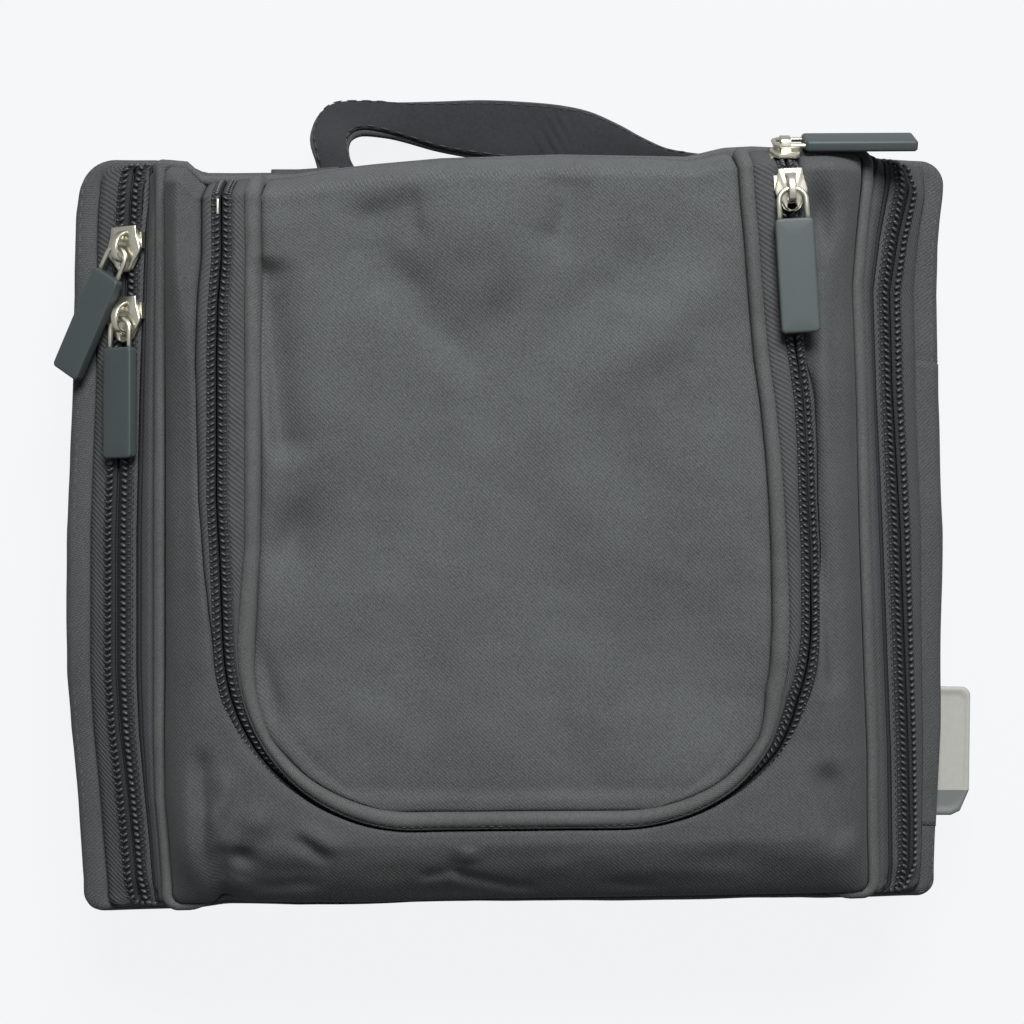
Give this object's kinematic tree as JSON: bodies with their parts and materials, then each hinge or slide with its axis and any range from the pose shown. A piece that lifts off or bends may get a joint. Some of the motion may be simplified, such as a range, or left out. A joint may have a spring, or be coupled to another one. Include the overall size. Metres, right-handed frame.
{
  "type": "toiletry bag",
  "caption": "Soft rectangular wash bag with a zipped lid, a zipped curved front pocket, sliders with moulded pulls and a carry handle.",
  "frame": {"origin": "middle of the flat back panel, on the surface that the bag lies on", "axes": "+X to the bag's right seen from the front, +Y towards the handle, +Z out of the front"},
  "size_m": [0.2537, 0.2282, 0.078],
  "materials": {
    "shell_fabric": "dark grey polyester twill",
    "piping_fabric": "plain weave piping over cord",
    "zip_tape": "herringbone woven tape",
    "zip_coil": "black nylon coil",
    "lining": "thin smooth lining",
    "mesh": "fine open mesh",
    "binding": "elastic binding",
    "board": "plain polyethylene sheet",
    "handle_web": "stitched strap",
    "handle_felt": "brushed felt-like facing",
    "slider_metal": "pale nickel plate",
    "pull_rubber": "moulded, matt, bare",
    "tag_rubber": "moulded, light grey with a dark end, bare"
  },
  "bodies": {
    "rear_tray": {"back_panel": "shell_fabric", "rear_piping": "piping_fabric", "rear_gusset": "shell_fabric", "back_board": "board", "rear_lining": "lining", "rear_zip_tape": "zip_tape", "rear_zip_coil": "zip_coil", "rear_hinge_panel": "shell_fabric", "side_pocket": "shell_fabric", "side_pocket_hem": "binding", "side_tag": "tag_rubber", "handle_anchor_left": "handle_web", "handle_anchor_right": "handle_web", "mesh_pocket": "mesh", "mesh_pocket_binding": "binding", "elastic_loops": "binding"},
    "lid": {"front_zip_coil": "zip_coil", "front_zip_tape": "zip_tape", "front_hinge_panel": "shell_fabric", "front_piping": "piping_fabric", "front_panel": "shell_fabric", "pocket_tape_outer": "zip_tape", "pocket_coil_outer": "zip_coil", "divider_panel": "lining", "divider_pocket": "mesh", "divider_pocket_binding": "binding", "organiser_pocket": "lining", "organiser_binding": "binding"},
    "flap": {"flap_panel": "shell_fabric", "flap_piping": "piping_fabric", "pocket_tape_inner": "zip_tape", "pocket_coil_inner": "zip_coil", "flap_lining": "lining"},
    "handle": {"handle_strap": "handle_web", "handle_pad": "handle_felt"},
    "upper_main_slider": {"main_slider_upper": "slider_metal"},
    "lower_main_slider": {"main_slider_lower": "slider_metal"},
    "lower_pocket_slider": {"pocket_slider_lower": "slider_metal"},
    "top_pocket_slider": {"pocket_slider_top": "slider_metal"},
    "upper_main_pull": {"main_wire_upper": "slider_metal", "main_tab_upper": "pull_rubber"},
    "lower_main_pull": {"main_wire_lower": "slider_metal", "main_tab_lower": "pull_rubber"},
    "lower_pocket_pull": {"pocket_wire_lower": "slider_metal", "pocket_tab_lower": "pull_rubber"},
    "top_pocket_pull": {"pocket_wire_top": "slider_metal", "pocket_tab_top": "pull_rubber"}
  },
  "joints": [
    {"name": "lid_swing", "type": "hinge", "parent": "rear_tray", "child": "lid", "pos_m": [0, -0.1042, 0.0489], "axis": [1, 0, 0], "range_deg": [0, 170]},
    {"name": "flap_swing", "type": "hinge", "parent": "lid", "child": "flap", "pos_m": [0, 0.105, 0.0575], "axis": [-1, 0, 0], "range_deg": [0, 135]},
    {"name": "handle_swing", "type": "hinge", "parent": "rear_tray", "child": "handle", "pos_m": [0, 0.1093, 0.033], "axis": [1, 0, 0], "range_deg": [0, 140]},
    {"name": "upper_main_slide", "type": "slide", "parent": "lid", "child": "upper_main_slider", "axis": [0, 1, 0], "range_m": [0, 0.006]},
    {"name": "lower_main_slide", "type": "slide", "parent": "lid", "child": "lower_main_slider", "axis": [0, -1, 0], "range_m": [0, 0.13]},
    {"name": "lower_pocket_slide", "type": "slide", "parent": "flap", "child": "lower_pocket_slider", "axis": [0.0611, -0.9981, 0], "range_m": [0, 0.11]},
    {"name": "top_pocket_slide", "type": "slide", "parent": "flap", "child": "top_pocket_slider", "axis": [0.0234, -0.3826, 0.9236], "range_m": [0, 0.003]},
    {"name": "upper_main_pull_swing", "type": "hinge", "parent": "upper_main_slider", "child": "upper_main_pull", "pos_m": [-0.10738, 0.0764, 0.05193], "axis": [-0.7141, 0.4695, -0.5193], "range_deg": [0, 150]},
    {"name": "lower_main_pull_swing", "type": "hinge", "parent": "lower_main_slider", "child": "lower_main_pull", "pos_m": [-0.10738, 0.0573, 0.05193], "axis": [-0.8087, 0, -0.5882], "range_deg": [0, 90]},
    {"name": "lower_pocket_pull_swing", "type": "hinge", "parent": "lower_pocket_slider", "child": "lower_pocket_pull", "pos_m": [0.07235, 0.0893, 0.07565], "axis": [-0.9981, -0.0611, 0], "range_deg": [0, 150]},
    {"name": "top_pocket_pull_swing", "type": "hinge", "parent": "top_pocket_slider", "child": "top_pocket_pull", "pos_m": [0.07168, 0.10024, 0.06031], "axis": [0, -0.9239, -0.3827], "range_deg": [-30, 0]}
  ]
}
